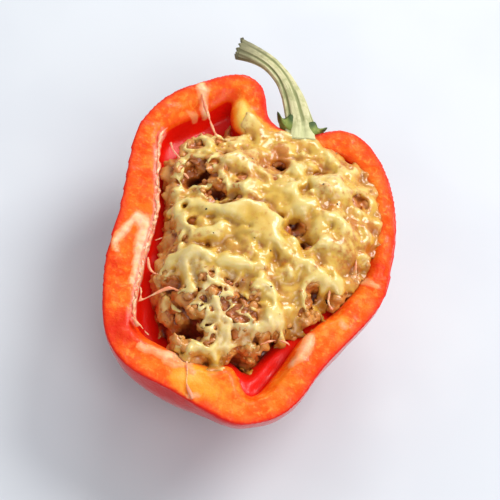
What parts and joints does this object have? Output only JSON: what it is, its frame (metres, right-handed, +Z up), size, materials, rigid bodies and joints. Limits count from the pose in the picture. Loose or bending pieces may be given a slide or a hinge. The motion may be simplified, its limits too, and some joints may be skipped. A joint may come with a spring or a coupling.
{
  "type": "stuffed bell pepper",
  "caption": "Half bell pepper, cut lengthwise through its stem, filled with cooked minced meat under melted cheese, lying with its cut face up.",
  "frame": {"origin": "on the small flat spot under the pepper that it rests on, below the axis of the pepper", "axes": "+Z up, out of the cut face; +Y along the pepper towards its stem; +X to the right when the stem points away"},
  "size_m": [0.0837, 0.1218, 0.0485],
  "materials": {
    "pepper_flesh": "roasted red bell pepper: glossy red skin outside, moist orange-red cut face, deep red wall inside",
    "cooked_mince": "cooked pale brown minced meat in small moist crumbles with glints of fat",
    "melted_cheese": "melted pale yellow cheese, soft and shiny, thick in the middle and stringy at its edges",
    "dried_stem": "dry green and tan stem, ridged lengthwise, matte"
  },
  "bodies": {
    "root": {"pepper_shell": "pepper_flesh", "meat_filling": "cooked_mince", "melted_cheese": "melted_cheese", "stem": "dried_stem"}
  },
  "joints": []
}
